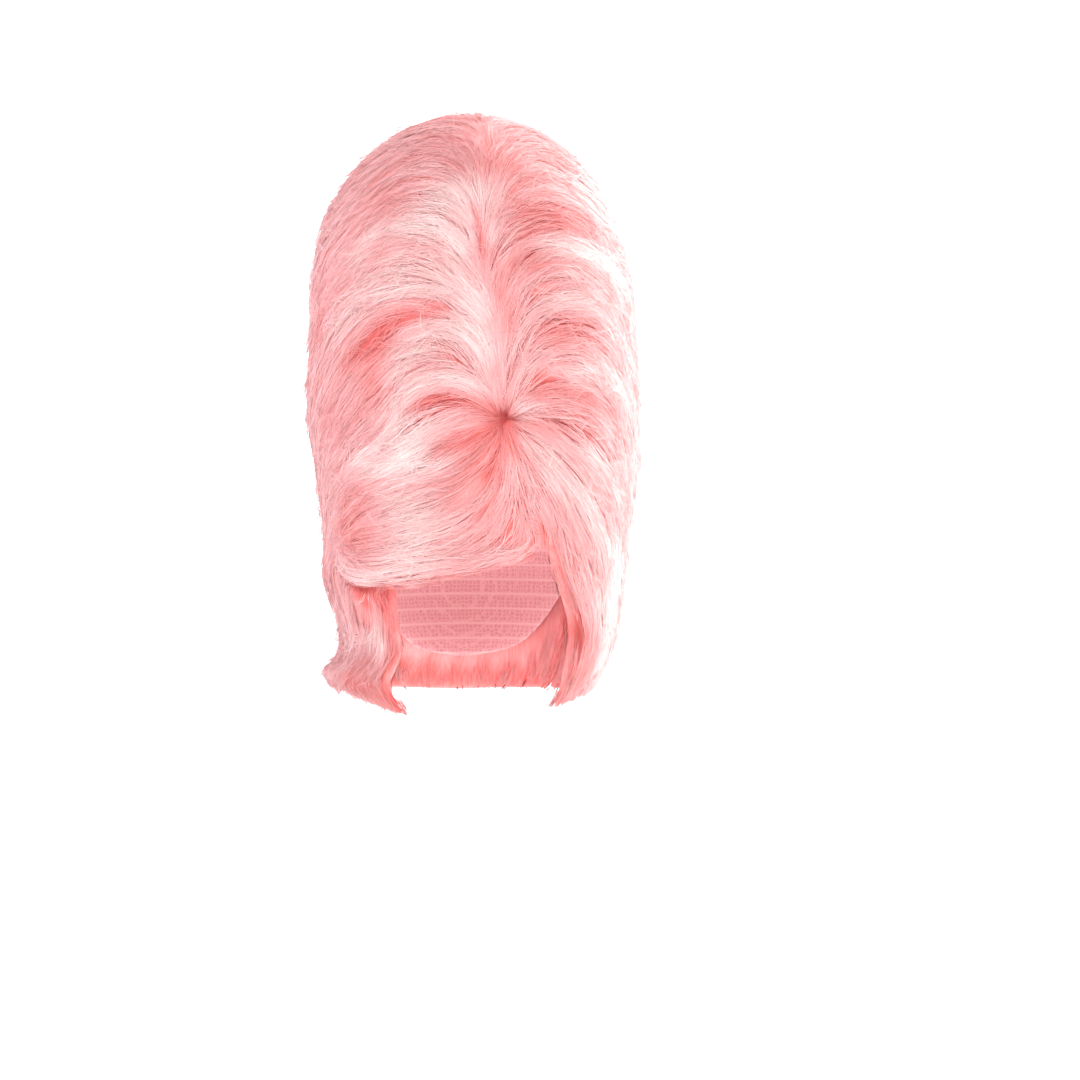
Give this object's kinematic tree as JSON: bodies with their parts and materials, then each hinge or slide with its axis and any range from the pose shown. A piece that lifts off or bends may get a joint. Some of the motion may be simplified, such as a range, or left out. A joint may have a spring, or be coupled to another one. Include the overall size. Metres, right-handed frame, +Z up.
{
  "type": "beehive wig",
  "caption": "Tall pink beehive wig in its worn shape, with a parted front, waves, a side-swept fringe, a temple lock and a flipped bob.",
  "frame": {"origin": "inside of the cap at the crown of the head, where the wig sits on the head that holds it up", "axes": "+Z up, -Y the way the wearer faces, +X the wearer's left"},
  "size_m": [0.2349, 0.243, 0.4237],
  "materials": {
    "hair": "combed synthetic fibre, satin",
    "pad_hair": "back-combed synthetic fibre, matt",
    "net": "stretch net, matt"
  },
  "bodies": {
    "root": {"wig_cap": "net", "teased_pad": "pad_hair", "crown_dome": "hair", "left_wave_high": "hair", "left_wave_middle": "hair", "left_wave_low": "hair", "fringe_sweep": "hair", "temple_lock": "hair", "right_wave_low": "hair", "right_wave_middle": "hair", "right_wave_high": "hair", "bob_left": "hair", "bob_back": "hair", "bob_right": "hair"}
  },
  "joints": []
}
